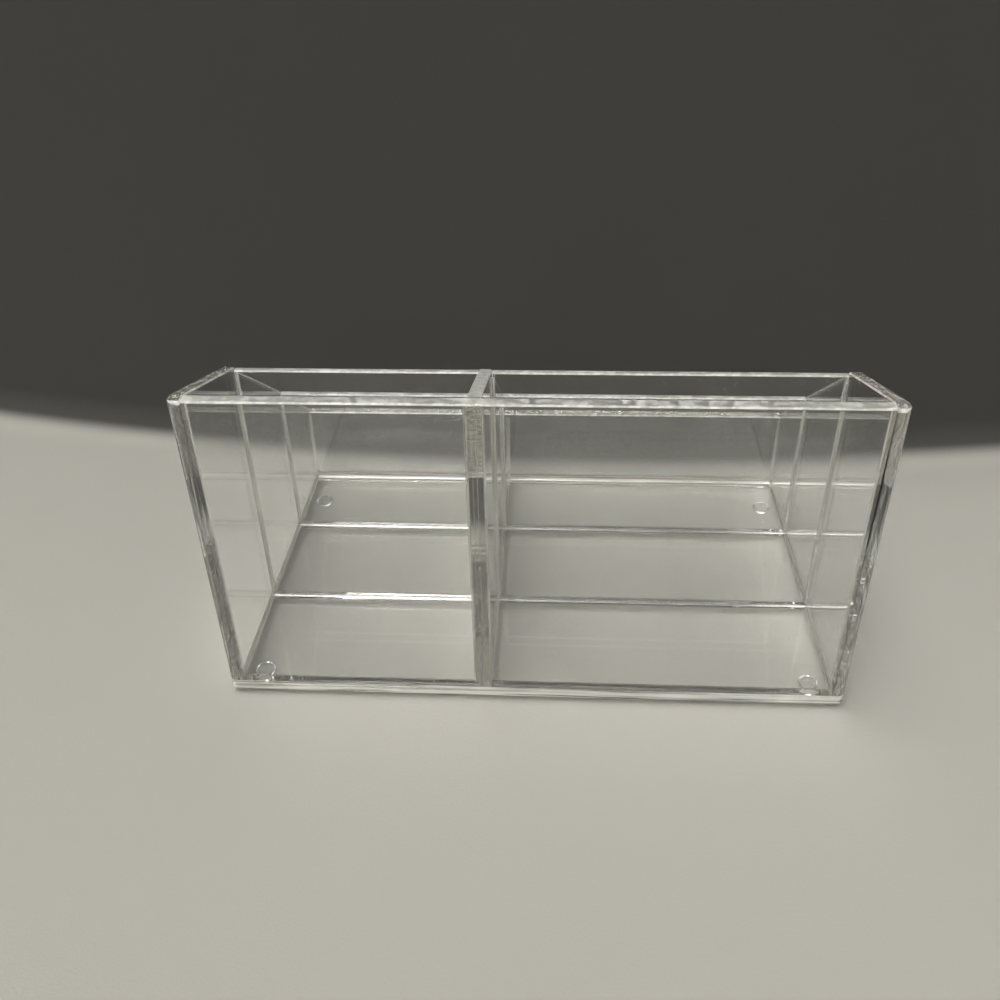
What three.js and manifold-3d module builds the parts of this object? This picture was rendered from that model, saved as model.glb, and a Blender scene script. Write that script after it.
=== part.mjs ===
// A clear acrylic makeup organizer: an open box of flat sheet, bonded edge to face, on four clear feet.
// One divider runs from back to front and two rows of partitions cross it, so it holds six open compartments.
// The back is tall, and the top edges of the side panels and the divider fall towards a low front.
// Millimetres, +Z up, +X to the right seen from behind. The back panel faces -Y and the front panel +Y.
// The origin is on the table, under the middle of the box.
import * as THREE from 'three';
import { mergeVertices } from 'three/addons/utils/BufferGeometryUtils.js';
import Module from 'manifold-3d';

// Driving dimensions of the box
const length = 240;
const depth = 157;
const wallThickness = 5;
const baseThickness = 5;
const dividerThickness = 5;
const partitionThickness = 3;

// Heights of the top edges, all above the upper face of the base
const backRise = 125.4;
const shoulderRise = 109.2;
const frontRise = 36.8;
const topStep = 0.8; // how far partitions and the front panel stay under the side panels' top edge

// Clear room inside: the rows from back to front, and the narrow column beside the divider
const rearRowDepth = 50;
const middleRowDepth = 50.5;
const narrowColumnWidth = 93.5;

// Edges and joints
const edgeRadius = 0.8; // polished edges
const cornerRadius = 3; // the box's four upright corners
const topCornerRadius = 2; // the ends of the side panels' top edges
const bondFilm = 0.1; // cured cement between two bonded faces
const overrun = 4; // how far a blank runs past a face that it is cut to

// Bumper feet
const footRadius = 4;
const footFlatRadius = 2.2;
const footHeight = 2;
const footInset = 12; // from the side panels' and the back panel's outer faces to a foot's centre
const footFrontInset = 23; // from the front panel's outer face to a foot's centre

// How finely round stretches are divided
const edgeSteps = 3;
const cornerSteps = 6;
const footSides = 28;
const footSteps = 5;

// Levels and faces that several pieces share
const baseUnderside = footHeight + bondFilm;
const baseTop = baseUnderside + baseThickness;
const panelFoot = baseTop + bondFilm;
const outerX = length / 2;
const outerY = depth / 2;
const innerX = outerX - wallThickness;
const innerY = outerY - wallThickness;
const dividerX = -innerX + narrowColumnWidth + dividerThickness / 2;
const rearPartitionY = -innerY + rearRowDepth + partitionThickness / 2;
const frontPartitionY = rearPartitionY + partitionThickness + middleRowDepth;

const wasm = await Module();
wasm.setup();

// The height of the side panels' top edge above the base: level over the back panel, then two straight falls.
function topEdgeAt(y) {
  if (y <= -innerY) return backRise;
  const [y0, z0, y1, z1] = y <= rearPartitionY
    ? [-innerY, backRise, rearPartitionY, shoulderRise]
    : [rearPartitionY, shoulderRise, outerY, frontRise];
  return z0 + (z1 - z0) * (y - y0) / (y1 - y0);
}

// An outline from corners [a, b, radius], given counterclockwise, with each radius drawn as an arc.
function roundedShape(corners, steps) {
  const places = corners.map(([a, b]) => new THREE.Vector2(a, b));
  const points = [];
  corners.forEach(([, , radius], i) => {
    const corner = places[i];
    if (radius === 0) {
      points.push(corner);
      return;
    }
    const toLast = places.at(i - 1).clone().sub(corner).normalize();
    const toNext = places[(i + 1) % places.length].clone().sub(corner).normalize();
    const half = Math.acos(toLast.dot(toNext)) / 2;
    const middle = toLast.clone().add(toNext).normalize();
    const centre = corner.clone().addScaledVector(middle, radius / Math.sin(half));
    const spoke = corner.clone().addScaledVector(toLast, radius / Math.tan(half)).sub(centre);
    const sweep = Math.PI - 2 * half;
    for (let step = 0; step <= steps; step += 1) {
      points.push(spoke.clone().rotateAround(new THREE.Vector2(), sweep * step / steps).add(centre));
    }
  });
  return new THREE.Shape(points);
}

// An outline drawn in Y and Z, extruded along X with these settings and centred on X = 0.
function alongX(shape, settings) {
  const geometry = new THREE.ExtrudeGeometry(shape, settings);
  // The shape's own X, Y and Z become Y, Z and X.
  geometry.applyMatrix4(new THREE.Matrix4().set(0, 0, 1, 0, 1, 0, 0, 0, 0, 1, 0, 0, 0, 0, 0, 1));
  geometry.computeBoundingBox();
  geometry.translate(-geometry.boundingBox.getCenter(new THREE.Vector3()).x, 0, 0);
  return geometry;
}

// Settings that round both rims of an extrusion of this thickness and keep its outline.
function roundedRims(thickness) {
  return {
    depth: thickness - 2 * edgeRadius,
    bevelEnabled: true,
    bevelThickness: edgeRadius,
    bevelSize: edgeRadius,
    bevelOffset: -edgeRadius,
    bevelSegments: edgeSteps,
  };
}

function toSolid(geometry) {
  const bare = geometry.clone();
  bare.deleteAttribute('normal');
  bare.deleteAttribute('uv');
  const merged = mergeVertices(bare);
  return new wasm.Manifold(new wasm.Mesh({
    numProp: 3,
    vertProperties: new Float32Array(merged.attributes.position.array),
    triVerts: new Uint32Array(merged.index.array),
  }));
}

function toGeometry(solid) {
  const { vertProperties, triVerts } = solid.getMesh();
  const geometry = new THREE.BufferGeometry();
  geometry.setAttribute('position', new THREE.BufferAttribute(vertProperties, 3));
  geometry.setIndex(new THREE.BufferAttribute(triVerts, 1));
  return geometry;
}

// The space that all these geometries share.
function commonPart(...geometries) {
  return toGeometry(geometries.map(toSolid).reduce((shared, solid) => shared.intersect(solid)));
}

// A block from one corner to the opposite one. It leaves square edges on a blank that it cuts.
function block(low, high) {
  const size = high.map((value, i) => value - low[i]);
  const box = new THREE.BoxGeometry(...size);
  box.translate(...low.map((value, i) => value + size[i] / 2));
  return box;
}

// The box's outline from above, pulled up. The base and the side panels share it, so their corners line up.
function planBlank(settings) {
  const shape = roundedShape([
    [-outerX, -outerY, cornerRadius],
    [outerX, -outerY, cornerRadius],
    [outerX, outerY, cornerRadius],
    [-outerX, outerY, cornerRadius],
  ], cornerSteps);
  return new THREE.ExtrudeGeometry(shape, settings);
}

// The base: a sheet with rounded upright corners and a polished lower rim. The walls stand on its square rim.
function baseGeometry() {
  const blank = planBlank(roundedRims(baseThickness + overrun));
  blank.translate(0, 0, edgeRadius);
  return commonPart(blank, block([-length, -depth, -overrun], [length, depth, baseThickness]));
}

// A straight wall across the box, from one bonded end to the other, with a polished top edge.
function wallGeometry(width, thickness, rise) {
  const half = thickness / 2;
  const shape = roundedShape([
    [-half, 0, 0],
    [half, 0, 0],
    [half, rise, edgeRadius],
    [-half, rise, edgeRadius],
  ], edgeSteps);
  return alongX(shape, { depth: width, bevelEnabled: false });
}

// A sheet that runs from back to front under the falling top edge. Its ends are at these two places.
function lengthwiseGeometry(thickness, backY, frontY, squareEnds) {
  const past = squareEnds ? overrun : 0;
  const radius = squareEnds ? 0 : topCornerRadius;
  const topBack = topEdgeAt(backY);
  const topFront = topEdgeAt(frontY);
  const fall = topEdgeAt(frontY - past) - topFront;
  const corners = [
    [backY - past, -overrun, 0],
    [frontY + past, -overrun, 0],
    [frontY + past, topFront - fall, radius],
    [rearPartitionY, shoulderRise, 0],
    [-innerY, backRise, 0],
    [backY - past, topBack, radius],
  ];
  const blank = alongX(roundedShape(corners, cornerSteps), roundedRims(thickness));
  return commonPart(blank, block([-thickness, backY, 0], [thickness, frontY, topBack + overrun]));
}

// A side panel, centred on X = 0, for a place this far from the middle of the box.
function sidePanelGeometry(middle) {
  const plan = planBlank({ depth: backRise + overrun, bevelEnabled: false });
  plan.translate(-middle, 0, 0);
  return commonPart(lengthwiseGeometry(wallThickness, -outerY, outerY, false), plan);
}

// A foot: a clear dome, glued by its flat upper face, with a small flat to stand on.
function footGeometry() {
  const profile = [new THREE.Vector2(0, 0)];
  for (let step = 0; step <= footSteps; step += 1) {
    const angle = Math.PI / 2 * step / footSteps;
    const radius = footFlatRadius + (footRadius - footFlatRadius) * Math.sin(angle);
    profile.push(new THREE.Vector2(radius, footHeight * (1 - Math.cos(angle))));
  }
  profile.push(new THREE.Vector2(0, footHeight));
  const geometry = new THREE.LatheGeometry(profile, footSides);
  geometry.rotateX(Math.PI / 2);
  return geometry;
}

const acrylic = { color: 0xeef1f0, roughness: 0.04, metalness: 0, transparent: true, opacity: 0.3 };
const softClear = { color: 0xe4e7e8, roughness: 0.22, metalness: 0, transparent: true, opacity: 0.5 };

const organizer = new THREE.Group();

function addPiece(name, geometry, finish, x, y, z) {
  const mesh = new THREE.Mesh(geometry, new THREE.MeshStandardMaterial(finish));
  mesh.name = name;
  mesh.position.set(x, y, z);
  organizer.add(mesh);
}

addPiece('base_panel', baseGeometry(), acrylic, 0, 0, baseUnderside);

for (const [side, sign] of [['left', -1], ['right', 1]]) {
  const middle = sign * (outerX - wallThickness / 2);
  addPiece(`${side}_side_panel`, sidePanelGeometry(middle), acrylic, middle, 0, panelFoot);
}

const betweenSides = 2 * (innerX - bondFilm);
const endWallY = outerY - wallThickness / 2;
const endWalls = [
  ['back_panel', -endWallY, backRise],
  ['front_panel', endWallY, topEdgeAt(endWallY) - topStep],
];
for (const [name, y, rise] of endWalls) {
  addPiece(name, wallGeometry(betweenSides, wallThickness, rise), acrylic, 0, y, panelFoot);
}

const dividerReach = innerY - bondFilm;
const dividerGeometry = lengthwiseGeometry(dividerThickness, -dividerReach, dividerReach, true);
addPiece('centre_divider', dividerGeometry, acrylic, dividerX, 0, panelFoot);

// The partitions of one row stand in line, one on each side of the divider.
const columns = [
  ['narrow', -innerX, dividerX - dividerThickness / 2],
  ['wide', dividerX + dividerThickness / 2, innerX],
];
for (const [row, y] of [['rear', rearPartitionY], ['front', frontPartitionY]]) {
  for (const [column, low, high] of columns) {
    const width = high - low - 2 * bondFilm;
    const geometry = wallGeometry(width, partitionThickness, topEdgeAt(y) - topStep);
    addPiece(`${row}_partition_${column}`, geometry, acrylic, (low + high) / 2, y, panelFoot);
  }
}

for (const [end, y] of [['back', footInset - outerY], ['front', outerY - footFrontInset]]) {
  for (const [side, sign] of [['left', -1], ['right', 1]]) {
    addPiece(`foot_${end}_${side}`, footGeometry(), softClear, sign * (outerX - footInset), y, 0);
  }
}

export default organizer;
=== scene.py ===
# %% [markdown]
# # A clear acrylic makeup organizer
#
# The organizer is an open box of clear sheet: a base, two side panels that fall from a tall back to a low
# front, a back and a front panel, one divider from back to front, and two rows of partitions. The sheets
# are bonded edge to face with solvent cement, and the box stands on four clear bumper feet. It has no
# moving part. This lesson builds each sheet as its own closed body, because clear objects get their look
# from light that enters and leaves every single sheet.

# %% Load the frame
import math

import bmesh
import bpy
from mathutils import Matrix, Vector


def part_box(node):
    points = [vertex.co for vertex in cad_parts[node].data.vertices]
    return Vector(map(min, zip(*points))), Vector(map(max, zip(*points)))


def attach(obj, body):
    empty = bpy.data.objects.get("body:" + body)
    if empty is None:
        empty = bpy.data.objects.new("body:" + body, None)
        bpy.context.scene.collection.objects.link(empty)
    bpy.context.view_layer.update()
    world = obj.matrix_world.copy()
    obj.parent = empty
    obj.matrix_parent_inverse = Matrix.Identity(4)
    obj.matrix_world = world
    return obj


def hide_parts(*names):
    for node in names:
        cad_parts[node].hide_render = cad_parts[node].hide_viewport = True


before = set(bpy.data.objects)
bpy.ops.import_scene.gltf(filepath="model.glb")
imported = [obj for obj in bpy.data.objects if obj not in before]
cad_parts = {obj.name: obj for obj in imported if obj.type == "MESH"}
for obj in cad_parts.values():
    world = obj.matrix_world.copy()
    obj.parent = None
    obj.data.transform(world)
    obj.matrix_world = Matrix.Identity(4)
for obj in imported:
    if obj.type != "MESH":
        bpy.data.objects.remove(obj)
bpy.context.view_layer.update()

# %% [markdown]
# ## Helpers for node trees
#
# Materials and geometry recipes are both trees of nodes. One short function that makes a node, sets its
# options and fills its inputs keeps every tree readable, and it takes a number or another node's output for
# any input. A few more helpers take up what every finish repeats.


# %% Make a node
def add_node(tree, kind, inputs=None, **options):
    """A new node of this kind. inputs maps a socket's name or number to a value or another node's output."""
    node = tree.nodes.new(kind)
    for name, value in options.items():
        setattr(node, name, value)
    for key, value in (inputs or {}).items():
        if isinstance(value, bpy.types.NodeSocket):
            tree.links.new(value, node.inputs[key])
        else:
            node.inputs[key].default_value = value
    return node


def calculate(tree, operation, *values):
    """The output of a Math node."""
    return add_node(tree, "ShaderNodeMath", dict(enumerate(values)), operation=operation).outputs[0]


def vector(tree, *values):
    """A vector from up to three values. Those left out are 0."""
    return add_node(tree, "ShaderNodeCombineXYZ", dict(enumerate(values))).outputs[0]


def parts_of(tree, value):
    """The X, Y and Z outputs of a vector."""
    return add_node(tree, "ShaderNodeSeparateXYZ", {0: value}).outputs


def blend_colours(tree, share, first, second):
    """The first colour where share is 0, the second where it is 1."""
    inputs = {0: share, 6: (*first, 1.0), 7: (*second, 1.0)}
    return add_node(tree, "ShaderNodeMix", inputs, data_type="RGBA").outputs[2]


def new_finish(name):
    """A material and its empty node tree."""
    material = bpy.data.materials.new(name)
    material.use_nodes = True
    material.node_tree.nodes.clear()
    print("finish:", name)
    return material, material.node_tree


def give_surface(tree, shader):
    """Ends a material's tree with this shader."""
    add_node(tree, "ShaderNodeOutputMaterial", {"Surface": shader.outputs[0]})


MM = 0.001
NEAR = 0.01 * MM  # two places closer than this are taken as one
STRAIGHT = 0.999  # a face lies square to an axis if its normal reaches this far along it

# %% [markdown]
# ## Clear acrylic
#
# Cast acrylic is colourless and very smooth, and bends light by an index of 1.49. A sheet that has been
# handled is not perfect: it has soft smears, hairline scratches and a few specks of dust, which show where
# light grazes it. A plain glass shader would do for a new sheet. Here a Principled shader transmits nearly
# everything, and three small patterns on Object coordinates set how rough and how cloudy each spot is.
# Cured cement and the bumper feet are clear as well and bend light alike, so the same function makes them,
# rougher and milkier. Cement has a wrinkled skin that glints more than a smooth one, and a small metallic
# share stands in for the wrinkles.


# %% Patterns of a handled sheet
def place_on_object(tree, stretch=(1, 1, 1)):
    """Object coordinates, stretched along the axes."""
    place = add_node(tree, "ShaderNodeTexCoord").outputs["Object"]
    return add_node(tree, "ShaderNodeMapping", {"Vector": place, "Scale": stretch}).outputs["Vector"]


def soft_steps(tree, value, low, high, to_low=0.0, to_high=1.0):
    """value taken from the range low to high into another one, and held at its ends."""
    inputs = {"Value": value, "From Min": low, "From Max": high, "To Min": to_low, "To Max": to_high}
    return add_node(tree, "ShaderNodeMapRange", inputs, interpolation_type="SMOOTHSTEP").outputs["Result"]


def smears(tree):
    """Broad cloudy patches, 0 to 1."""
    inputs = {"Vector": place_on_object(tree), "Scale": 26.0, "Detail": 5.0, "Distortion": 1.2}
    cloud = add_node(tree, "ShaderNodeTexNoise", inputs).outputs[0]
    return soft_steps(tree, cloud, 0.48, 0.72)


def hairlines(tree, stretch):
    """Fine scratches in one direction, 0 to 1."""
    inputs = {"Vector": place_on_object(tree, stretch), "Scale": 60.0, "Detail": 2.0}
    streak = add_node(tree, "ShaderNodeTexNoise", inputs).outputs[0]
    return soft_steps(tree, streak, 0.66, 0.72)


def specks(tree, scale, share, size=0.14):
    """Small dots, 0 to 1, in about this share of the pattern's cells. size is a dot's radius in cells."""
    dots = add_node(tree, "ShaderNodeTexVoronoi", {"Vector": place_on_object(tree), "Scale": scale})
    core = soft_steps(tree, dots.outputs["Distance"], 0.4 * size, size, 1.0, 0.0)
    cell = add_node(tree, "ShaderNodeSeparateColor", {0: dots.outputs["Color"]}).outputs[0]
    chosen = calculate(tree, "LESS_THAN", cell, share)
    return calculate(tree, "MULTIPLY", core, chosen)


# %% Make clear acrylic
INDEX = 1.49


def clear_finish(name, colour, smoothest, cloudiest, milk=0.0, mirror=0.0):
    """A clear material. smoothest is its least roughness, cloudiest the share of light that smears scatter,
    milk the share that is scattered everywhere, and mirror the share that a wrinkled skin throws back."""
    material, tree = new_finish(name)
    smear = smears(tree)
    scratch = calculate(tree, "MAXIMUM", hairlines(tree, (30, 1, 1)), hairlines(tree, (1, 1, 24)))
    dust = specks(tree, 420.0, 0.05)
    marks = calculate(tree, "MULTIPLY", calculate(tree, "ADD", smear, scratch), 0.01)
    cloud = calculate(tree, "MULTIPLY_ADD", smear, cloudiest, milk)
    cloud = calculate(tree, "MULTIPLY_ADD", dust, 0.25, cloud)
    give_surface(tree, add_node(tree, "ShaderNodeBsdfPrincipled", {
        "Base Color": (*colour, 1.0), "IOR": INDEX, "Metallic": mirror,
        "Roughness": calculate(tree, "ADD", marks, smoothest),
        "Transmission Weight": calculate(tree, "SUBTRACT", 1.0, cloud),
    }))
    return material


CEMENT_COLOUR = (0.98, 0.97, 0.94)
clear_acrylic = clear_finish("clear_acrylic", (0.995, 0.997, 0.995), 0.004, 0.02)
clear_bumper = clear_finish("clear_bumper", (0.95, 0.96, 0.96), 0.06, 0.08)
clear_cement = clear_finish("clear_cement", CEMENT_COLOUR, 0.20, 0.10, milk=0.06, mirror=0.25)
rippled_cement = clear_finish("rippled_cement", CEMENT_COLOUR, 0.36, 0.10, milk=0.10, mirror=0.55)

# %% [markdown]
# ## Satin top edges
#
# The faces of the sheets are as smooth as glass, but a sawn edge is only scraped and sanded. So the top
# edges are satin: mottled and cream-coloured in daylight, with a few bright grains. A part of the light
# goes through, scattered, and the rest comes back evenly. An image could be painted for this, but a noise
# and the slope of the face fit every sheet without one: the milk follows the slope, so the roundings are
# whiter than the flat, partly from wear and partly as a painted highlight along the rounded rims. The side
# panels and the front panel are polished further and stay clearer. The base's edge still has its saw marks,
# which run along it and glint as fine lines: a noise stretched along X gives them.


# %% Make the satin edge finish
CREAM = (0.95, 0.94, 0.89)


def satin_finish(name, flat_milk, rim_milk_and_sheen, roughness, mottling):
    """A sanded edge. The milks are the shares of light sent back by the flat and by the roundings. The
    roundings' extra milk is partly wear and partly a painted highlight.
    """
    material, tree = new_finish(name)
    grain = calculate(tree, "MAXIMUM", specks(tree, 900.0, 0.30, 0.40), specks(tree, 420.0, 0.15, 0.35))
    slope = parts_of(tree, add_node(tree, "ShaderNodeNewGeometry").outputs["True Normal"])["Z"]
    # the roundings get more milk than the flat: partly wear, partly a painted highlight on the rims
    milk_and_rim_sheen = soft_steps(tree, slope, 0.80, 0.97, rim_milk_and_sheen, flat_milk)
    inputs = {"Vector": place_on_object(tree), "Scale": 420.0, "Detail": 5.0}
    mottle = add_node(tree, "ShaderNodeTexNoise", inputs).outputs[0]
    milk = calculate(tree, "ADD", soft_steps(tree, mottle, 0.36, 0.64, -mottling, 0.7 * mottling), milk_and_rim_sheen)
    tone = blend_colours(tree, soft_steps(tree, mottle, 0.42, 0.60), (0.72, 0.71, 0.66), CREAM)
    give_surface(tree, add_node(tree, "ShaderNodeBsdfPrincipled", {
        "Base Color": tone, "IOR": INDEX, "Roughness": roughness,
        "Transmission Weight": calculate(tree, "SUBTRACT", 1.0, calculate(tree, "MAXIMUM", grain, milk)),
    }))
    return material


def sawn_finish():
    """An edge as the saw leaves it, with long marks along X."""
    material, tree = new_finish("sawn_edge")
    inputs = {"Vector": place_on_object(tree, (0.02, 1, 1)), "Scale": 900.0, "Detail": 3.0}
    marks = add_node(tree, "ShaderNodeTexNoise", inputs).outputs[0]
    bump = add_node(tree, "ShaderNodeBump", {"Strength": 1.0, "Distance": 0.12 * MM, "Height": marks})
    clear = soft_steps(tree, marks, 0.40, 0.62, 0.15, 0.75)
    give_surface(tree, add_node(tree, "ShaderNodeBsdfPrincipled", {
        "Base Color": (*CREAM, 1.0), "IOR": INDEX, "Roughness": 0.18, "Normal": bump.outputs[0],
        "Transmission Weight": calculate(tree, "MULTIPLY_ADD", smears(tree), -0.15, clear),
    }))
    return material


satin_edge = satin_finish("satin_edge", 0.50, 0.85, roughness=0.35, mottling=0.30)
clearer_edge = satin_finish("clearer_edge", 0.15, 0.75, roughness=0.16, mottling=0.12)
sawn_edge = sawn_finish()
FACES_UP = 0.25


def mark_top_edge(obj, foot, finish=satin_edge):
    """Gives the faces of an upright sheet that look up a satin finish, roundings included."""
    obj.data.materials.append(finish)
    number = len(obj.data.materials) - 1
    top = 0
    for face in obj.data.polygons:
        if face.normal.z > FACES_UP and face.center.z > foot + MM and face.material_index == 0:
            face.material_index = number
            top += 1
    print(obj.name, "has", top, "satin faces")


# %% [markdown]
# ## Bonded faces
#
# Solvent cement melts two sheets into one, so light crosses a good joint without bending, and a joint shows
# only by its bubbles and a faint film. Two closed bodies a hair apart would mirror light in the gap
# instead. So the faces that meet get a finish of their own: light goes straight through it, except at
# bubbles and in a thin cloudy film, which scatters a part of the light to both sides. Where a bead of
# cement is fused to a sheet there is no film, so that strip of the sheet lets everything through. The faces
# are found from the pieces' boxes: two sheets that are less than a fifth of a millimetre apart are bonded.
# The strips need the joint lines, so these are listed here, before the sheets and the beads are made.


# %% Make the finish of a bonded face
def bonded_finish():
    """A joint between two sheets: clear, with a thin film and bubbles."""
    material, tree = new_finish("bonded_face")
    bubbles = calculate(tree, "MAXIMUM", specks(tree, 900.0, 0.08), specks(tree, 350.0, 0.03))
    film = calculate(tree, "MULTIPLY_ADD", smears(tree), 0.06, 0.05)
    marks = calculate(tree, "MAXIMUM", bubbles, film)
    passing = add_node(tree, "ShaderNodeBsdfTransparent", {"Color": (0.99, 0.99, 0.985, 1.0)})
    film_colour = (0.97, 0.96, 0.92, 1.0)
    back = add_node(tree, "ShaderNodeBsdfDiffuse", {"Color": film_colour})
    through = add_node(tree, "ShaderNodeBsdfTranslucent", {"Color": film_colour})
    haze = add_node(tree, "ShaderNodeMixShader", {0: 0.5, 1: back.outputs[0], 2: through.outputs[0]})
    give_surface(tree, add_node(tree, "ShaderNodeMixShader",
                                {0: marks, 1: passing.outputs[0], 2: haze.outputs[0]}))
    return material


def fused_finish():
    """A face inside one piece of plastic: nothing but a faint tint in the smears."""
    material, tree = new_finish("fused_face")
    tint = blend_colours(tree, smears(tree), (1.0, 1.0, 1.0), (0.97, 0.97, 0.96))
    give_surface(tree, add_node(tree, "ShaderNodeBsdfTransparent", {"Color": tint}))
    return material


bonded_face = bonded_finish()
fused_face = fused_finish()

# %% List the joint lines
BEAD = 1.0 * MM
FOOT_BEAD = 2.0 * MM  # at the foot of a partition, on its back side
FRONT_BEAD = 4.0 * MM  # at the foot of the front panel
CLEARANCE = 0.01 * MM  # from a bead to the sheets, so that no two faces share a place
EDGE = 0.8 * MM  # rounding of a polished edge
EDGE_STEPS = 5
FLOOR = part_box("base_panel")[1].z


def faces_of(axis, *nodes):
    """The lowest and highest place of each of these sheets on one axis."""
    return [(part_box(node)[0][axis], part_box(node)[1][axis]) for node in nodes]


left, divide, right = faces_of(0, "left_side_panel", "centre_divider", "right_side_panel")
ROWS = ["back_panel", "rear_partition_wide", "front_partition_wide", "front_panel"]
rows = faces_of(1, *ROWS)
tops = [top for _, top in faces_of(2, *ROWS)]
columns = [(left[1], divide[0]), (divide[1], right[0])]
joints = []


def add_joint(start, end, lean, rise, radius=BEAD):
    """A joint line from start to end, whose bead lies along lean and rise."""
    start, end, lean, rise = (Vector(v) for v in (start, end, lean, rise))
    if (end - start).dot(lean.cross(rise)) < 0:
        start, end = end, start
    joints.append((start, end, lean, rise, radius))


for x0, x1 in columns:
    for (_, y0), (y1, _), top0, top1 in zip(rows, rows[1:], tops, tops[1:]):
        far_bead = FRONT_BEAD if y1 == rows[-1][0] else FOOT_BEAD
        add_joint((x0, y0, FLOOR), (x1, y0, FLOOR), (0, 1, 0), (0, 0, 1))
        add_joint((x0, y1, FLOOR), (x1, y1, FLOOR), (0, -1, 0), (0, 0, 1), far_bead)
        add_joint((x0, y0, FLOOR), (x0, y1, FLOOR), (1, 0, 0), (0, 0, 1))
        add_joint((x1, y0, FLOOR), (x1, y1, FLOOR), (-1, 0, 0), (0, 0, 1))
        for x, way in ((x0, 1), (x1, -1)):
            for y, side, top in ((y0, 1, top0), (y1, -1, top1)):
                add_joint((x, y, FLOOR), (x, y, top - 2 * EDGE), (way, 0, 0), (0, side, 0))
cement_length = sum((end - start).length for start, end, *_ in joints)
print(len(joints), "joint lines,", round(cement_length, 2), "metres of cement")

# %% Find the bonded faces
CROSS_WALLS = ["back_panel", "front_panel", "rear_partition_narrow", "rear_partition_wide",
               "front_partition_narrow", "front_partition_wide"]
SHEETS = ["base_panel", "left_side_panel", "right_side_panel", "centre_divider", *CROSS_WALLS]
BOND_REACH = 0.2 * MM  # two sheets closer than this are bonded
CUT_REACH = 0.002 * MM  # a point closer than this to a cut lies on it


def contacts(node):
    """(axis, place, low corner, high corner) of every stretch of this sheet that is bonded to another one."""
    low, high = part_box(node)
    found = []
    for other in SHEETS:
        if other == node:
            continue
        low2, high2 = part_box(other)
        for axis in range(3):
            upper, lower = low2[axis] - high[axis], low[axis] - high2[axis]
            for place, gap in ((high[axis], upper), (low[axis], lower)):
                meet_low = Vector(map(max, low, low2))
                meet_high = Vector(map(min, high, high2))
                wide = all(meet_high[i] - meet_low[i] > MM for i in range(3) if i != axis)
                if 0 <= gap < BOND_REACH and wide:
                    found.append((axis, place, meet_low, meet_high))
    return found


def bead_strips(node):
    """(axis, place, low corner, high corner) of every strip of this sheet that a cement bead covers."""
    low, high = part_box(node)
    found = []
    for start, end, lean, rise, radius in joints:
        for along, across in ((lean, rise), (rise, lean)):
            corners = (start, end, start + along * radius, end + along * radius)
            strip_low = Vector(map(min, *corners))
            strip_high = Vector(map(max, *corners))
            axis = max(range(3), key=lambda i: abs(across[i]))
            place = high[axis] if across[axis] > 0 else low[axis]
            inside = all(low[i] - BOND_REACH <= strip_low[i] and strip_high[i] <= high[i] + BOND_REACH
                         for i in range(3) if i != axis)
            if inside and abs(strip_low[axis] - place) < BOND_REACH:
                found.append((axis, place, strip_low, strip_high))
    return found


# %% Mark the bonded faces
def mark_bonds(obj, node):
    """Cuts the sheet's faces along the rims of its joints and gives the bonded ones their finish."""
    body = bmesh.new()
    body.from_mesh(obj.data)
    obj.data.materials.append(bonded_face)
    obj.data.materials.append(fused_face)
    number = len(obj.data.materials) - 2
    films = contacts(node)
    joined = films + bead_strips(node)
    cuts = {(i, round(cut, 6)) for axis, _, low, high in joined
            for i in range(3) if i != axis for cut in (low[i], high[i])}
    for i, cut in sorted(cuts):
        normal = Vector(1.0 if k == i else 0.0 for k in range(3))
        everything = body.verts[:] + body.edges[:] + body.faces[:]
        bmesh.ops.bisect_plane(body, geom=everything, dist=CUT_REACH, plane_co=normal * cut, plane_no=normal)
    bonded = 0
    for face in body.faces:
        middle = face.calc_center_median()
        for order, (axis, place, low, high) in enumerate(joined):
            flat = abs(face.normal[axis]) > STRAIGHT and abs(middle[axis] - place) < NEAR
            if flat and all(low[i] < middle[i] < high[i] for i in range(3) if i != axis):
                face.material_index = number if order < len(films) else number + 1
                bonded += 1
                break
    body.to_mesh(obj.data)
    body.free()
    print(node, "is bonded in", len(joined), "strips,", bonded, "faces")


# %% [markdown]
# ## Cross walls
#
# Back panel, front panel and four partitions are one thing in six sizes: a straight sheet with square
# bonded ends and a sanded top edge. One geometry recipe with named sizes makes them all. It draws the
# sheet's cross-section, rounds only the two upper corners, fills it and pulls it out to the sheet's width.


# %% Start and end a recipe
def new_recipe(name, sizes):
    """An empty geometry tree with a mesh going in and out, a Finish input, and one number input per size."""
    tree = bpy.data.node_groups.new(name, "GeometryNodeTree")
    face = tree.interface
    face.new_socket("Geometry", in_out="INPUT", socket_type="NodeSocketGeometry")
    face.new_socket("Finish", in_out="INPUT", socket_type="NodeSocketMaterial")
    for size in sizes:
        face.new_socket(size, in_out="INPUT", socket_type="NodeSocketFloat")
    face.new_socket("Geometry", in_out="OUTPUT", socket_type="NodeSocketGeometry")
    return tree, tree.nodes.new("NodeGroupInput").outputs


def end_recipe(tree, shape, given):
    """Ends a tree: real geometry with the finish on it."""
    real = add_node(tree, "GeometryNodeRealizeInstances", {0: shape}).outputs[0]
    inputs = {"Geometry": real, "Material": given["Finish"]}
    painted = add_node(tree, "GeometryNodeSetMaterial", inputs).outputs[0]
    tree.links.new(painted, tree.nodes.new("NodeGroupOutput").inputs[0])


def join(tree, *pieces):
    """These pieces as one geometry."""
    node = add_node(tree, "GeometryNodeJoinGeometry")
    for piece in pieces:
        tree.links.new(piece, node.inputs[0])
    return node.outputs[0]


def position(tree):
    """Where each point lies."""
    return parts_of(tree, add_node(tree, "GeometryNodeInputPosition").outputs[0])


# %% Grow a recipe into a plain mesh
def show(obj):
    """Puts an object in the scene."""
    bpy.context.scene.collection.objects.link(obj)
    return obj


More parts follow.
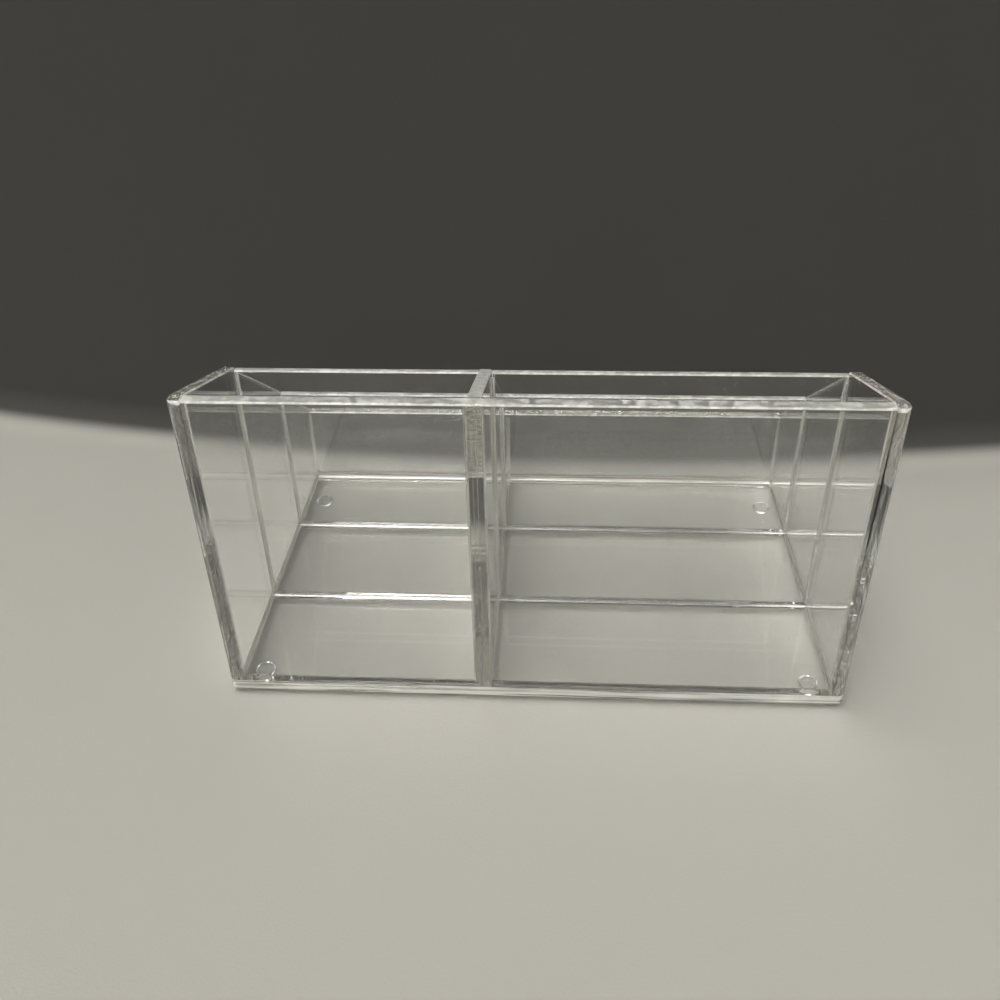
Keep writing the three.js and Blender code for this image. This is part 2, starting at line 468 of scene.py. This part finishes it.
def grow(name, tree, finish, sizes, start=None):
    """Runs a tree on a starting mesh and keeps the result as a plain mesh object."""
    seed = show(bpy.data.objects.new(name + "_seed", start or bpy.data.meshes.new(name + "_seed")))
    modifier = seed.modifiers.new("recipe", "NODES")
    modifier.node_group = tree
    values = dict(sizes, Finish=finish)
    for socket in tree.interface.items_tree:
        if socket.in_out == "INPUT" and socket.name in values:
            modifier[socket.identifier] = values[socket.name]
    graph = bpy.context.evaluated_depsgraph_get()
    mesh = bpy.data.meshes.new_from_object(seed.evaluated_get(graph), depsgraph=graph)
    mesh.name = name
    mesh.materials.clear()  # an empty slot stands before the finish
    mesh.materials.append(finish)
    bpy.data.objects.remove(seed)
    return show(bpy.data.objects.new(name, mesh))


# %% Draw the recipe of a cross wall
WELD = 0.001 * MM  # points closer than this become one


def cross_wall_recipe():
    """The cross-section is drawn in X and Y, pulled out along Z, and then turned and put in its place."""
    sizes = ["Width", "Thickness", "Rise", "Edge Radius", "Middle X", "Middle Y", "Foot Z"]
    tree, given = new_recipe("cross_wall", sizes)
    section = add_node(tree, "GeometryNodeCurvePrimitiveQuadrilateral",
                       {"Width": given["Thickness"], "Height": given["Rise"]}).outputs[0]
    upper = calculate(tree, "GREATER_THAN", position(tree)["Y"], 0.0)
    radius = calculate(tree, "MULTIPLY", upper, given["Edge Radius"])
    inputs = {"Curve": section, "Count": EDGE_STEPS, "Radius": radius}
    rounded = add_node(tree, "GeometryNodeFilletCurve", inputs, mode="POLY").outputs[0]
    tidy = add_node(tree, "GeometryNodeCurveToMesh", {"Curve": rounded}).outputs[0]
    tidy = add_node(tree, "GeometryNodeMergeByDistance", {"Geometry": tidy, "Distance": WELD}).outputs[0]
    outline = add_node(tree, "GeometryNodeMeshToCurve", {"Mesh": tidy}).outputs[0]
    face = add_node(tree, "GeometryNodeFillCurve", {"Curve": outline}, mode="NGONS").outputs[0]
    inputs = {"Mesh": face, "Offset": (0, 0, 1), "Offset Scale": given["Width"], "Individual": False}
    pulled = add_node(tree, "GeometryNodeExtrudeMesh", inputs).outputs[0]
    back = add_node(tree, "GeometryNodeFlipFaces", {0: face}).outputs[0]
    inputs = {"Geometry": join(tree, pulled, back), "Distance": WELD}
    body = add_node(tree, "GeometryNodeMergeByDistance", inputs).outputs[0]
    left = calculate(tree, "MULTIPLY_ADD", given["Width"], -0.5, given["Middle X"])
    centre = calculate(tree, "MULTIPLY_ADD", given["Rise"], 0.5, given["Foot Z"])
    inputs = {"Geometry": body, "Translation": vector(tree, left, given["Middle Y"], centre),
              "Rotation": (math.radians(90), 0, math.radians(90))}
    end_recipe(tree, add_node(tree, "GeometryNodeTransform", inputs).outputs[0], given)
    return tree


# %% Check and keep a piece
def check_body(obj):
    """Counts open edges and turns the faces outwards if the body is inside out."""
    body = bmesh.new()
    body.from_mesh(obj.data)
    open_edges = sum(not edge.is_manifold for edge in body.edges)
    volume = body.calc_volume(signed=True)
    if volume < 0:
        bmesh.ops.reverse_faces(body, faces=body.faces)
        body.to_mesh(obj.data)
    print(f"{obj.name}: {len(body.faces)} faces, {open_edges} open edges, {volume * 1e9:.0f} cubic mm")
    body.free()


def keep_piece(obj, slot, *nodes):
    """Checks a finished piece, hangs it under the root body and hides the CAD nodes that it stands for. The
    slot is not used.
    """
    check_body(obj)
    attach(obj, "root")
    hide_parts(*nodes)


# %% Make the six cross walls
cross_wall = cross_wall_recipe()
for node in CROSS_WALLS:
    low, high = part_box(node)
    size, middle = high - low, (low + high) / 2
    wall = grow("clear_" + node, cross_wall, clear_acrylic, {
        "Width": size.x, "Thickness": size.y, "Rise": size.z, "Edge Radius": EDGE,
        "Middle X": middle.x, "Middle Y": middle.y, "Foot Z": low.z,
    })
    mark_bonds(wall, node)
    mark_top_edge(wall, low.z, clearer_edge if node == "front_panel" else satin_edge)
    keep_piece(wall, "clear_acrylic", node)

# %% [markdown]
# ## Side panels, divider and base
#
# These four sheets have outlines of their own. The side panels and the divider share the falling top edge:
# level over the back panel, then two straight falls with a slight bend over the rear partitions. Each one
# is an outline pulled out to the sheet's thickness. A curve could do that too, but mesh code can pick the
# edges that are really polished and round only those. The bonded lower edges stay square, as a saw leaves
# them for the cement. The box's four upright corners are rounded after assembly, so the side panels are
# trimmed to the base's outline.

# %% Find the falling top edge
TOP_STEP = 0.8 * MM  # how far the cross walls stay under it


def above_wall(node):
    """The place (y, z) on the side panels' top edge over the middle of this cross wall."""
    low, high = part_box(node)
    return Vector(((low.y + high.y) / 2, high.z + TOP_STEP))


panel_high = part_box("left_side_panel")[1]
LEVEL_END = Vector((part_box("back_panel")[1].y, panel_high.z))
SHOULDER = above_wall("rear_partition_wide")
fall = above_wall("front_panel") - SHOULDER
FRONT_END = SHOULDER + fall * (panel_high.y - SHOULDER.x) / fall.x
print("the top edge runs through",
      [tuple(round(v, 4) for v in point) for point in (LEVEL_END, SHOULDER, FRONT_END)])


def top_edge(y):
    """Height of the side panels' top edge at this distance from the middle."""
    if y <= LEVEL_END.x:
        return LEVEL_END.y
    start, end = (LEVEL_END, SHOULDER) if y <= SHOULDER.x else (SHOULDER, FRONT_END)
    return start.y + (end.y - start.y) * (y - start.x) / (end.x - start.x)


# %% Round the corners of an outline
CORNER = 3.0 * MM
TOP_CORNER = 2.0 * MM
SHARP = 0
CORNER_STEPS = 10


def round_corners(corners):
    """Points of an outline. Each corner is (a, b, radius), counterclockwise."""
    points = []
    for i, (a, b, radius) in enumerate(corners):
        here = Vector((a, b))
        if radius == SHARP:
            points.append(here)
            continue
        last = (Vector(corners[i - 1][:2]) - here).normalized()
        following = (Vector(corners[(i + 1) % len(corners)][:2]) - here).normalized()
        half = math.acos(max(-1, min(1, last.dot(following)))) / 2
        centre = here + (last + following).normalized() * radius / math.sin(half)
        spoke = here + last * radius / math.tan(half) - centre
        for step in range(CORNER_STEPS + 1):
            angle = (math.pi - 2 * half) * step / CORNER_STEPS
            points.append(centre + Vector((spoke.x * math.cos(angle) - spoke.y * math.sin(angle),
                                           spoke.x * math.sin(angle) + spoke.y * math.cos(angle))))
    return points


# %% Pull an outline out to a sheet
def sheet(name, outline, low, high, to_place, polished):
    """A closed sheet between low and high. to_place turns (a, b, height) into a place, and polished tells
    whether the edge between two places is rounded."""
    body = bmesh.new()
    rings = [[body.verts.new(to_place(p.x, p.y, h)) for p in outline] for h in (low, high)]
    body.faces.new(rings[0][::-1])
    body.faces.new(rings[1])
    count = len(outline)
    for i in range(count):
        j = (i + 1) % count
        body.faces.new((rings[0][i], rings[0][j], rings[1][j], rings[1][i]))
    bmesh.ops.recalc_face_normals(body, faces=body.faces)
    edges = [e for e in body.edges if polished(e.verts[0].co, e.verts[1].co)]
    bmesh.ops.bevel(body, geom=edges, offset=EDGE, segments=EDGE_STEPS, profile=0.5, affect="EDGES",
                    clamp_overlap=True, loop_slide=True)
    mesh = bpy.data.meshes.new(name)
    body.to_mesh(mesh)
    body.free()
    mesh.materials.append(clear_acrylic)
    return show(bpy.data.objects.new(name, mesh))


# %% Turn and trim the sheets
def upright(a, b, height):
    """An outline in Y and Z, pulled out along X."""
    return Vector((height, a, b))


def flat_on(a, b, height):
    """An outline in X and Y, pulled up."""
    return Vector((a, b, height))


def rims_above(foot):
    """True for the rims of an upright sheet, but not for its bonded lower edge or across its thickness."""
    return lambda p, q: abs(p.x - q.x) < NEAR and max(p.z, q.z) > foot + NEAR


def plan_outline():
    """The box's outline from above, with its four rounded upright corners."""
    low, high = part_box("base_panel")
    return round_corners([(low.x, low.y, CORNER), (high.x, low.y, CORNER),
                          (high.x, high.y, CORNER), (low.x, high.y, CORNER)])


def trim(obj, blank):
    """Keeps only what lies inside the blank, and removes the blank."""
    cut = obj.modifiers.new("trim", "BOOLEAN")
    cut.operation, cut.solver, cut.object = "INTERSECT", "EXACT", blank
    graph = bpy.context.evaluated_depsgraph_get()
    mesh = bpy.data.meshes.new_from_object(obj.evaluated_get(graph), depsgraph=graph)
    obj.modifiers.remove(cut)
    obj.data = mesh
    bpy.data.objects.remove(blank)


# %% Make the side panels
for node in ("left_side_panel", "right_side_panel"):
    low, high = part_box(node)
    outline = round_corners([
        (low.y, low.z, SHARP), (high.y, low.z, SHARP), (high.y, FRONT_END.y, TOP_CORNER),
        (*SHOULDER, SHARP), (*LEVEL_END, SHARP), (low.y, LEVEL_END.y, TOP_CORNER),
    ])
    panel = sheet("clear_" + node, outline, low.x, high.x, upright, rims_above(low.z))
    blank = sheet("plan_blank", plan_outline(), low.z - MM, high.z + MM, flat_on, lambda p, q: False)
    trim(panel, blank)
    mark_bonds(panel, node)
    mark_top_edge(panel, low.z, clearer_edge)
    keep_piece(panel, "clear_acrylic", node)

# %% Make the divider
low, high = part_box("centre_divider")
outline = round_corners([(low.y, low.z, SHARP), (high.y, low.z, SHARP), (high.y, top_edge(high.y), SHARP),
                         (*SHOULDER, SHARP), (low.y, top_edge(low.y), SHARP)])


def top_rims(p, q):
    """True for the long rims of the top edge. The bonded ends stay square."""
    return rims_above(low.z)(p, q) and abs(p.y - q.y) > 0.1 * MM


divider = sheet("clear_centre_divider", outline, low.x, high.x, upright, top_rims)
mark_bonds(divider, "centre_divider")
mark_top_edge(divider, low.z)
keep_piece(divider, "clear_acrylic", "centre_divider")

# %% Make the base
low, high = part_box("base_panel")
base = sheet("clear_base_panel", plan_outline(), low.z, high.z, flat_on,
             lambda p, q: max(p.z, q.z) < low.z + NEAR)
mark_bonds(base, "base_panel")
FEET = ["foot_back_left", "foot_back_right", "foot_front_left", "foot_front_right"]
(near_low, near_high), (far_low, far_high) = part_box(FEET[0]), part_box(FEET[3])
feet_middle = (near_low + far_high) / 2
feet_spacing = far_low - near_low
foot_radius = (near_high.x - near_low.x) / 2


def glued_under_feet():
    """Clear acrylic, but light goes straight through where a bumper foot is glued on."""
    material = clear_acrylic.copy()
    material.name = "clear_underside"
    tree = material.node_tree
    end = tree.nodes["Material Output"]
    surface = end.inputs["Surface"].links[0].from_socket
    place = parts_of(tree, place_on_object(tree))
    off = []
    for i in range(2):
        from_middle = calculate(tree, "ABSOLUTE", calculate(tree, "SUBTRACT", place[i], feet_middle[i]))
        off.append(calculate(tree, "SUBTRACT", from_middle, feet_spacing[i] / 2))
    inputs = {0: vector(tree, *off)}
    away = add_node(tree, "ShaderNodeVectorMath", inputs, operation="LENGTH").outputs["Value"]
    glued = calculate(tree, "LESS_THAN", away, foot_radius)
    passing = add_node(tree, "ShaderNodeBsdfTransparent", {"Color": (0.97, 0.97, 0.965, 1.0)})
    mix = add_node(tree, "ShaderNodeMixShader", {0: glued, 1: surface, 2: passing.outputs[0]})
    tree.links.new(mix.outputs[0], end.inputs["Surface"])
    return material


# %% Finish the base
base.data.materials.append(glued_under_feet())
base.data.materials.append(sawn_edge)
underside, rim = len(base.data.materials) - 2, len(base.data.materials) - 1
FACES_OUT = 0.5
for face in base.data.polygons:
    if face.normal.z < -STRAIGHT:
        face.material_index = underside
    elif face.normal.z < FACES_OUT:
        face.material_index = rim
keep_piece(base, "clear_acrylic", "base_panel")

# %% [markdown]
# ## Cement
#
# Solvent cement is run along each joint and wicks in. A little of it sets as a small hollow bead in the
# inner corners and catches light as a bright line. Most beads are thin. Those at the foot of each cross
# wall, on its back side, are thicker, and the one along the front panel is the thickest, with a skin that
# dried in ripples. They could be modelled one by one, but a bead follows a path, so one geometry recipe
# makes them all: a mesh of plain edges gives the joint lines, each with the direction in which one leg of
# the bead lies and with its size, and the recipe sweeps a hollow corner profile along them. The legs and
# the ends are fused with the sheets, so light goes straight through them, and only the hollow face bends
# it.

# %% Write the joint lines into a mesh
joint_lines = bpy.data.meshes.new("joint_lines")
places = [place + (lean + rise) * CLEARANCE for a, b, lean, rise, _ in joints for place in (a, b)]
joint_lines.from_pydata(places, [(2 * i, 2 * i + 1) for i in range(len(joints))], [])
joint_lines.attributes.new("lean", "FLOAT_VECTOR", "POINT")
joint_lines.attributes.new("bead_radius", "FLOAT", "POINT")
# The first attribute moves when the second is made, so both are looked up only now.
leans, radii = (joint_lines.attributes[name].data for name in ("lean", "bead_radius"))
for i, (_, _, lean, _, radius) in enumerate(joints):
    leans[2 * i].vector = leans[2 * i + 1].vector = lean
    radii[2 * i].value = radii[2 * i + 1].value = radius
print(len(joint_lines.vertices), "ends of joint lines")


# %% Draw the recipe of a cement bead
def corner_profile(tree, radius):
    """A closed corner outline: two straight legs of this length, and a hollow arc between their tips."""
    inputs = {"Resolution": 9, "Radius": radius,
              "Start Angle": math.radians(270), "Sweep Angle": math.radians(-90)}
    arc = add_node(tree, "GeometryNodeCurveArc", inputs, mode="RADIUS").outputs[0]
    inputs = {"Geometry": arc, "Translation": vector(tree, radius, radius)}
    outline = [add_node(tree, "GeometryNodeTransform", inputs).outputs[0]]
    for tip in (vector(tree, radius), vector(tree, 0.0, radius)):
        leg = add_node(tree, "GeometryNodeCurvePrimitiveLine", {"Start": (0, 0, 0), "End": tip})
        outline.append(leg.outputs[0])
    loop = add_node(tree, "GeometryNodeCurveToMesh", {"Curve": join(tree, *outline)}).outputs[0]
    loop = add_node(tree, "GeometryNodeMergeByDistance", {"Geometry": loop, "Distance": WELD}).outputs[0]
    return add_node(tree, "GeometryNodeMeshToCurve", {"Mesh": loop}).outputs[0]


def written(tree, name, kind):
    """What the starting mesh holds under this name."""
    return add_node(tree, "GeometryNodeInputNamedAttribute", {"Name": name}, data_type=kind).outputs[0]


def bead_recipe():
    """The corner profile swept along the joint lines, a little thicker and thinner on its way."""
    tree, given = new_recipe("cement_bead", ["Profile Size", "Step", "Lump Size", "Lump Share"])
    paths = add_node(tree, "GeometryNodeMeshToCurve", {"Mesh": given["Geometry"]}).outputs[0]
    inputs = {"Curve": paths, "Length": given["Step"]}
    paths = add_node(tree, "GeometryNodeResampleCurve", inputs, mode="LENGTH").outputs[0]
    inputs = {"Curve": paths, "Normal": written(tree, "lean", "FLOAT_VECTOR")}
    paths = add_node(tree, "GeometryNodeSetCurveNormal", inputs, mode="FREE").outputs[0]
    inputs = {"Scale": calculate(tree, "DIVIDE", 1.0, given["Lump Size"]), "Detail": 2.0}
    lumps = calculate(tree, "SUBTRACT", add_node(tree, "ShaderNodeTexNoise", inputs).outputs[0], 0.5)
    swell = calculate(tree, "MULTIPLY_ADD", lumps, calculate(tree, "MULTIPLY", given["Lump Share"], 2.0), 1.0)
    own_size = calculate(tree, "DIVIDE", written(tree, "bead_radius", "FLOAT"), given["Profile Size"])
    inputs = {"Curve": paths, "Radius": calculate(tree, "MULTIPLY", swell, own_size)}
    paths = add_node(tree, "GeometryNodeSetCurveRadius", inputs).outputs[0]
    inputs = {"Curve": paths, "Profile Curve": corner_profile(tree, given["Profile Size"]), "Fill Caps": True}
    end_recipe(tree, add_node(tree, "GeometryNodeCurveToMesh", inputs).outputs[0], given)
    return tree


# %% Make the cement beads
BEAD_SIZES = {"Profile Size": BEAD, "Step": 2.0 * MM, "Lump Size": 9 * MM, "Lump Share": 0.03}
beads = grow("cement_beads", bead_recipe(), clear_cement, BEAD_SIZES, joint_lines)
check_body(beads)
beads.data.materials.append(fused_face)
beads.data.materials.append(rippled_cement)
SQUARE = 0.9985  # the legs and ends look straight along an axis, the hollow face does not
FUSED, RIPPLED = 1, 2
for face in beads.data.polygons:
    if max(abs(v) for v in face.normal) > SQUARE:
        face.material_index = FUSED
    elif face.center.y > rows[-1][0] - FRONT_BEAD and face.center.z < FLOOR + FRONT_BEAD:
        face.material_index = RIPPLED
fused = sum(face.material_index == FUSED for face in beads.data.polygons)
print(fused, "fused faces on", len(joints), "beads")
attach(beads, "root")

# %% [markdown]
# ## Bubbles
#
# Cement that wicks too fast traps air. The bubbles sit along the joints as tiny bright dots, closer
# together in some stretches. They are scattered over the beads with a fixed seed and differ in size, so a
# recipe is the natural way: points on the beads' faces, and one very small ball on each point.


# %% Draw the recipe of the bubbles
def bubble_recipe():
    """Small balls on the faces of the starting mesh, with a noise that says where they lie close together."""
    tree, given = new_recipe("bubbles", ["Per Square Metre", "Smallest", "Largest", "Seed"])
    cloud = add_node(tree, "ShaderNodeTexNoise", {"Scale": 40.0, "Detail": 1.0}).outputs[0]
    thick = calculate(tree, "MULTIPLY", soft_steps(tree, cloud, 0.48, 0.7), given["Per Square Metre"])
    inputs = {"Mesh": given["Geometry"], "Density": thick, "Seed": given["Seed"]}
    points = add_node(tree, "GeometryNodeDistributePointsOnFaces", inputs).outputs[0]
    ball = add_node(tree, "GeometryNodeMeshIcoSphere", {"Radius": 1.0, "Subdivisions": 2}).outputs[0]
    inputs = {2: given["Smallest"], 3: given["Largest"], "Seed": given["Seed"]}
    size = add_node(tree, "FunctionNodeRandomValue", inputs, data_type="FLOAT").outputs[1]
    inputs = {"Points": points, "Instance": ball, "Scale": size}
    end_recipe(tree, add_node(tree, "GeometryNodeInstanceOnPoints", inputs).outputs[0], given)
    return tree


BUBBLE_SIZES = {"Per Square Metre": 90000.0, "Smallest": 0.10 * MM, "Largest": 0.35 * MM, "Seed": 7}
bubbles = grow("cement_bubbles", bubble_recipe(), clear_cement, BUBBLE_SIZES, beads.data.copy())
check_body(bubbles)
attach(bubbles, "root")

# %% [markdown]
# ## Bumper feet
#
# The feet are soft clear domes with a sticky flat side. A flattened ball would come close, but the real
# dome follows a rule: going up from its small standing flat, its radius grows like a quarter of an ellipse.
# The recipe bends a plain cylinder's rings by that rule and puts one dome on each corner point of a grid.


# %% Draw the recipe of the feet
def feet_recipe():
    """A cylinder of radius 1 and height 1, bent into a dome and put on the corners of a grid."""
    sizes = ["Foot Radius", "Flat Radius", "Foot Height", "Spacing X", "Spacing Y",
             "Middle X", "Middle Y", "Ground Z"]
    tree, given = new_recipe("bumper_feet", sizes)
    inputs = {"Vertices": 64, "Side Segments": 14, "Fill Segments": 4, "Radius": 1.0, "Depth": 1.0}
    blank = add_node(tree, "GeometryNodeMeshCylinder", inputs).outputs[0]
    here = position(tree)
    angle = calculate(tree, "MULTIPLY", calculate(tree, "ADD", here[2], 0.5), math.pi / 2)
    swell = calculate(tree, "SUBTRACT", given["Foot Radius"], given["Flat Radius"])
    reach = calculate(tree, "MULTIPLY_ADD", calculate(tree, "SINE", angle), swell, given["Flat Radius"])
    rise = calculate(tree, "SUBTRACT", 1.0, calculate(tree, "COSINE", angle))
    rise = calculate(tree, "MULTIPLY", rise, given["Foot Height"])
    place = vector(tree, *(calculate(tree, "MULTIPLY", here[i], reach) for i in range(2)), rise)
    dome = add_node(tree, "GeometryNodeSetPosition", {"Geometry": blank, "Position": place}).outputs[0]
    inputs = {"Size X": given["Spacing X"], "Size Y": given["Spacing Y"], "Vertices X": 2, "Vertices Y": 2}
    grid = add_node(tree, "GeometryNodeMeshGrid", inputs).outputs[0]
    four = add_node(tree, "GeometryNodeInstanceOnPoints", {"Points": grid, "Instance": dome}).outputs[0]
    middle = vector(tree, given["Middle X"], given["Middle Y"], given["Ground Z"])
    placed = add_node(tree, "GeometryNodeTransform", {"Geometry": four, "Translation": middle}).outputs[0]
    end_recipe(tree, placed, given)
    return tree


# %% Make the feet
feet = grow("bumper_feet", feet_recipe(), clear_bumper, {
    "Foot Radius": foot_radius, "Flat Radius": 2.2 * MM, "Foot Height": near_high.z - near_low.z,
    "Spacing X": feet_spacing.x, "Spacing Y": feet_spacing.y,
    "Middle X": feet_middle.x, "Middle Y": feet_middle.y, "Ground Z": near_low.z,
})
feet.data.shade_smooth()
feet.data.materials.append(fused_face)
for face in feet.data.polygons:
    if face.normal.z > STRAIGHT and face.center.z > near_high.z - NEAR:
        face.material_index = FUSED
        face.use_smooth = False
print(sum(face.material_index for face in feet.data.polygons), "glued faces on four feet")
keep_piece(feet, "clear_bumper", *FEET)

# %% [markdown]
# ## Floor and backdrop
#
# A clear object shows mostly what is around it. It stands on a plain pale floor, and behind it a plain dark
# grey card sweeps up from the floor, because bright edges read best in front of something dark. The card's
# foot has the floor's colour and turns dark within a few millimetres of height, so no seam shows. The card
# is seen only from its front, so it hides nothing when the camera goes round to the other side.

# %% Make the finishes of the floor and the card
PALE = (0.445, 0.437, 0.398)
DARK = (0.08, 0.078, 0.072)
BLEND_START, BLEND_END = 1.5 * MM, 8.0 * MM


def plain_shader(tree, colour):
    """A dull surface with a fine nap."""
    inputs = {"Vector": place_on_object(tree), "Scale": 900.0, "Detail": 3.0}
    nap = add_node(tree, "ShaderNodeTexNoise", inputs).outputs[0]
    bump = add_node(tree, "ShaderNodeBump", {"Strength": 0.25, "Distance": 0.4 * MM, "Height": nap})
    return add_node(tree, "ShaderNodeBsdfPrincipled", {
        "Base Color": colour, "Roughness": 0.95, "Specular IOR Level": 0.1, "Normal": bump.outputs[0]})


pale_floor, tree = new_finish("pale_floor")
give_surface(tree, plain_shader(tree, (*PALE, 1.0)))

dark_card, tree = new_finish("dark_card")
height = parts_of(tree, place_on_object(tree))["Z"]
front = plain_shader(tree, blend_colours(tree, soft_steps(tree, height, BLEND_START, BLEND_END), PALE, DARK))
behind = add_node(tree, "ShaderNodeNewGeometry").outputs["Backfacing"]
clear = add_node(tree, "ShaderNodeBsdfTransparent")
give_surface(tree, add_node(tree, "ShaderNodeMixShader",
                            {0: behind, 1: front.outputs[0], 2: clear.outputs[0]}))

# %% Make the floor and the card
FLOOR_REACH = 4.0
FLOOR_Z = -0.05 * MM  # a hair under the feet
SWEEP_RADIUS = 0.02
SWEEP_STEPS = 16
CARD_REACH, CARD_HEIGHT = 0.9, 0.24
CARD_STRIPS = 60
NEAREST, NEAREST_X, BEND = 0.0815, 0.03, 0.33


def card_start(x):
    """The Y at which the card leaves the floor: nearest behind the box, and farther off to the sides."""
    return NEAREST + BEND * (x - NEAREST_X) ** 2


def stage_grid(name, lines, finish):
    """A sheet of the stage through these lines of places, which all have the same number of them."""
    count = len(lines[0])
    faces = [(i * count + k, (i + 1) * count + k, (i + 1) * count + k + 1, i * count + k + 1)
             for i in range(len(lines) - 1) for k in range(count - 1)]
    mesh = bpy.data.meshes.new(name)
    mesh.from_pydata([place for line in lines for place in line], [], faces)
    mesh.materials.append(finish)
    obj = show(bpy.data.objects.new(name, mesh))
    print(name, "has", len(faces), "faces")
    return obj


reach = (-FLOOR_REACH, FLOOR_REACH)
stage_grid("floor", [[(x, y, FLOOR_Z) for y in reach] for x in reach], pale_floor)
angles = [math.pi / 2 * i / SWEEP_STEPS for i in range(SWEEP_STEPS + 1)]
sweep = [(SWEEP_RADIUS * math.sin(a), SWEEP_RADIUS * (1 - math.cos(a))) for a in angles]
sweep.append((SWEEP_RADIUS, CARD_HEIGHT))
strips = [CARD_REACH * (2 * i / CARD_STRIPS - 1) for i in range(CARD_STRIPS + 1)]
card = stage_grid("backdrop", [[(x, card_start(x) + y, z) for y, z in sweep] for x in strips], dark_card)
card.data.shade_smooth()

# %% [markdown]
# ## Light
#
# The room's light is even and soft: a sky for the ceiling, greyer towards the horizon, and one long bright
# panel on it, to the left, that runs from over the box to the camera's side. A rounding that runs along X
# keeps the sideways slope of a ray that it mirrors, so this panel lights the foot lines of the narrow
# compartments and leaves the others calm. Lamps beside the box could do that too, but they would light its
# near side more. The panel ends before the place that the base and the walls would mirror into the camera.


# %% Make the world and the lamp
SKY_LOW, SKY_HIGH = (0.22, 0.216, 0.209), (0.44, 0.433, 0.42)
SKY_TURNS = (-0.05, 0.9)  # slope of a ray at which the one colour ends and the other is reached
LAMP_COLOUR = (1.0, 0.98, 0.95, 1.0)
LAMP_MIDDLE, LAMP_HALF, LAMP_RIM = (-0.21, -0.26), (0.145, 0.42), 0.02
LAMP_LIGHT = 8.7
world = bpy.data.worlds.new("room")
bpy.context.scene.world = world
world.use_nodes = True
world.cycles.sampling_method = "NONE"
tree = world.node_tree
tree.nodes.clear()
direction = parts_of(tree, add_node(tree, "ShaderNodeTexCoord").outputs["Generated"])
glow = blend_colours(tree, soft_steps(tree, direction[2], *SKY_TURNS), SKY_LOW, SKY_HIGH)
lamp_glow = calculate(tree, "GREATER_THAN", direction[2], 0.0)
for i in range(2):
    off = calculate(tree, "ABSOLUTE", calculate(tree, "SUBTRACT", direction[i], LAMP_MIDDLE[i]))
    inside = soft_steps(tree, off, LAMP_HALF[i] - LAMP_RIM, LAMP_HALF[i] + LAMP_RIM, 1.0, 0.0)
    lamp_glow = calculate(tree, "MULTIPLY", lamp_glow, inside)
strength = calculate(tree, "MULTIPLY", lamp_glow, LAMP_LIGHT)
sky = add_node(tree, "ShaderNodeBackground", {"Color": glow, "Strength": 1.0})
lamp = add_node(tree, "ShaderNodeBackground", {"Color": LAMP_COLOUR, "Strength": strength})
both = add_node(tree, "ShaderNodeAddShader", {0: sky.outputs[0], 1: lamp.outputs[0]})
add_node(tree, "ShaderNodeOutputWorld", {"Surface": both.outputs[0]})
print("the lamp reaches over", LAMP_HALF, "of the sky around", LAMP_MIDDLE)

# %% [markdown]
# ## Camera
#
# The camera stands behind the tall back, a little to the right of the middle, and looks down on the box at
# about 35 degrees. Its place, turn and lens come from a fit of the box's edges to their places in the
# image.

# %% Make the camera
CAMERA_PLACE = Vector((0.0096, -0.3634, 0.2919))
CAMERA_TURN, CAMERA_PITCH, CAMERA_ROLL = 0.0712, 0.6018, -0.0244
CAMERA_LENS = 36.6

forward = Vector((-math.sin(CAMERA_TURN) * math.cos(CAMERA_PITCH),
                  math.cos(CAMERA_TURN) * math.cos(CAMERA_PITCH), -math.sin(CAMERA_PITCH)))
level = Vector((math.cos(CAMERA_TURN), math.sin(CAMERA_TURN), 0))
above = level.cross(forward)
across = level * math.cos(CAMERA_ROLL) + above * math.sin(CAMERA_ROLL)
above = above * math.cos(CAMERA_ROLL) - level * math.sin(CAMERA_ROLL)
camera_data = bpy.data.cameras.new("camera")
camera_data.lens, camera_data.sensor_width = CAMERA_LENS, 36.0
camera_data.clip_start, camera_data.clip_end = 0.01, 20.0
camera = show(bpy.data.objects.new("camera", camera_data))
camera.rotation_mode = "QUATERNION"
camera.rotation_quaternion = Matrix((across, above, -forward)).transposed().to_quaternion()
camera.location = CAMERA_PLACE
bpy.context.scene.camera = camera

# %% [markdown]
# ## Depth of the light
#
# On its way through the box a ray crosses up to a dozen sheets, two faces each, and is mirrored inside some
# of them. With few bounces the light would end inside the plastic and leave black edges, so it may go deep,
# and its brightness isn't cut off on the way.

# %% Let light go deep into the sheets
scene = bpy.context.scene
scene.view_settings.view_transform = "Standard"
scene.cycles.max_bounces = 32
scene.cycles.transmission_bounces = 32
scene.cycles.glossy_bounces = 16
scene.cycles.transparent_max_bounces = 32
scene.cycles.blur_glossy = 0.0
scene.cycles.sample_clamp_indirect = 0.0
print("light may bounce", scene.cycles.max_bounces, "times")
